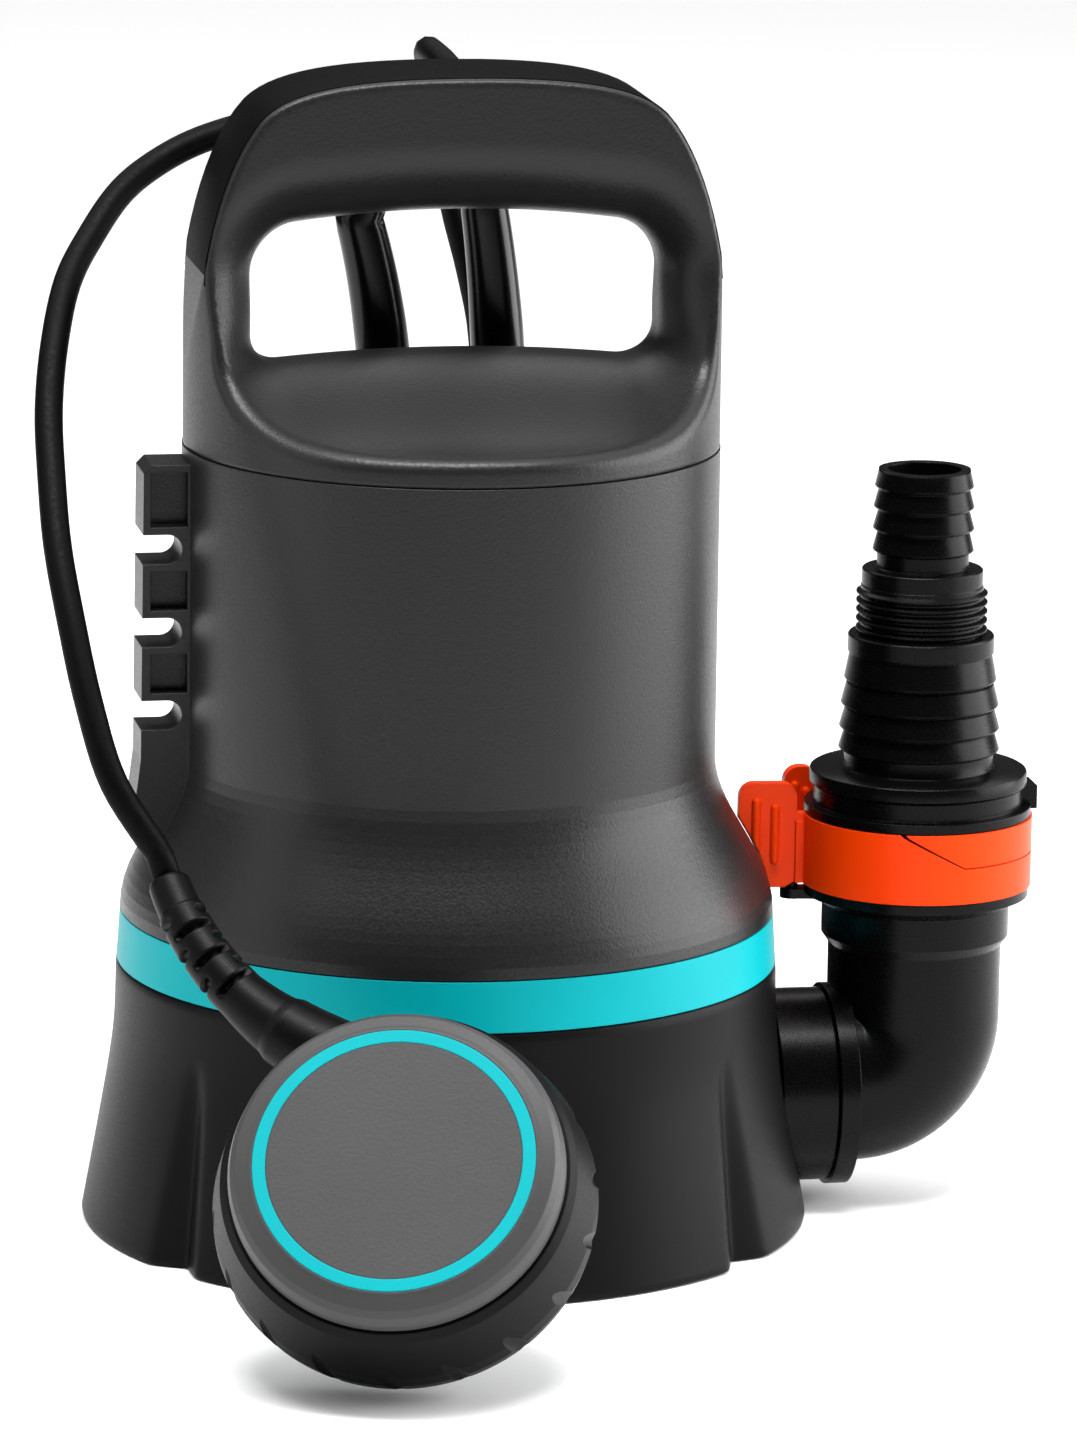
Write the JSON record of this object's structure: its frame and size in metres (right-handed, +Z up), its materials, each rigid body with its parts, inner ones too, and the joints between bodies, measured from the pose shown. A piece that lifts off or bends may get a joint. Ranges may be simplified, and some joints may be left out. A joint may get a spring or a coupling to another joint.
{
  "type": "submersible pump",
  "caption": "Submersible clear-water pump with a handle cap, a side outlet with a swivelling stepped hose nozzle, and a float switch on a looped cord.",
  "frame": {"origin": "on the pump's own axis at the floor", "axes": "+Z up the pump's axis, +X towards the outlet and the hose nozzle, -Y the front, where the float lies"},
  "size_m": [0.2575, 0.5356, 0.2907],
  "materials": {
    "foot_plastic": "fine moulded grain",
    "dark_plastic": "fine moulded grain",
    "band_plastic": "smooth satin",
    "housing_plastic": "fine spark-eroded grain",
    "soft_grip": "fine ribbed",
    "seal_rubber": "smooth",
    "screw_steel": "drawn",
    "carrier_aluminium": "die cast",
    "can_steel": "drawn sheet",
    "lamination_steel": "stacked sheet",
    "winding_copper": "enamelled wire",
    "capacitor_case": "smooth",
    "bearing_steel": "ground",
    "shaft_steel": "ground",
    "nut_brass": "machined",
    "black_plastic": "fine moulded grain",
    "orange_plastic": "smooth satin",
    "boot_rubber": "smooth",
    "float_plastic": "smooth moulded",
    "cover_plastic": "satin",
    "switch_case": "smooth",
    "cord_rubber": "fine matt",
    "tie_plastic": "woven",
    "plug_rubber": "fine matt",
    "pin_nickel": "nickel plated"
  },
  "bodies": {
    "pump": {"suction_foot": "foot_plastic", "strainer_plate": "dark_plastic", "trim_band": "band_plastic", "motor_housing": "housing_plastic", "handle_cap": "housing_plastic", "grip_strap": "soft_grip", "cap_gasket": "seal_rubber", "cap_screws": "screw_steel", "foot_screws": "screw_steel", "volute": "dark_plastic", "volute_cover": "dark_plastic", "volute_screws": "screw_steel", "seal_carrier": "carrier_aluminium", "shaft_seals": "seal_rubber", "motor_can": "can_steel", "stator_core": "lamination_steel", "stator_windings": "winding_copper", "run_capacitor": "capacitor_case", "bearing_outer_races": "bearing_steel", "bearing_balls": "bearing_steel", "elbow": "black_plastic", "stub_seal": "seal_rubber", "lock_ring": "orange_plastic", "mains_boot": "boot_rubber", "float_boot": "boot_rubber", "float_cord": "cord_rubber", "mains_cord": "cord_rubber", "mains_coil": "cord_rubber", "coil_tie": "tie_plastic", "mains_cord_end": "cord_rubber", "mains_plug": "plug_rubber", "plug_pins": "pin_nickel"},
    "rotor": {"motor_shaft": "shaft_steel", "rotor_core": "lamination_steel", "impeller": "dark_plastic", "impeller_nut": "nut_brass", "bearing_inner_races": "bearing_steel"},
    "lever": {"lock_lever": "orange_plastic"},
    "nozzle": {"hose_nozzle": "black_plastic", "nozzle_seal": "seal_rubber"},
    "float": {"float_shell": "float_plastic", "float_cover": "cover_plastic", "float_ring": "band_plastic", "float_seal": "seal_rubber", "float_sleeve": "boot_rubber", "float_microswitch": "switch_case"},
    "ball": {"float_ball": "bearing_steel"},
    "switch lever": {"switch_lever": "screw_steel"}
  },
  "joints": [
    {"name": "rotor_spin", "type": "hinge", "parent": "pump", "child": "rotor", "pos_m": [0, 0, 0.1], "axis": [0, 0, 1], "continuous": true},
    {"name": "nozzle_swivel", "type": "hinge", "parent": "pump", "child": "nozzle", "pos_m": [0.1209, 0, 0.1], "axis": [0, 0, 1], "continuous": true},
    {"name": "lever_swing", "type": "hinge", "parent": "pump", "child": "lever", "pos_m": [0.0896, 0.0044, 0.09], "axis": [0, 0, -1], "range_deg": [0, 6], "stiffness_Nm_per_rad": 0.5},
    {"name": "float_swing", "type": "hinge", "parent": "pump", "child": "float", "pos_m": [-0.098, -0.061, 0.146], "axis": [-0.9564, 0.2921, 0], "range_deg": [0, 75], "deforming": ["float_cord"]},
    {"name": "ball_roll", "type": "slide", "parent": "float", "child": "ball", "axis": [-0.3602, 0.6645, 0.6547], "range_m": [0, 0.016]},
    {"name": "switch_press", "type": "hinge", "parent": "float", "child": "switch lever", "pos_m": [-0.03643, -0.13198, 0.04672], "axis": [-0.9048, -0.078, -0.4187], "range_deg": [0, 15.2]}
  ],
  "couplings": [
    {"joint": "switch_press", "follows": "ball_roll", "rad_per_m": 16.36}
  ]
}
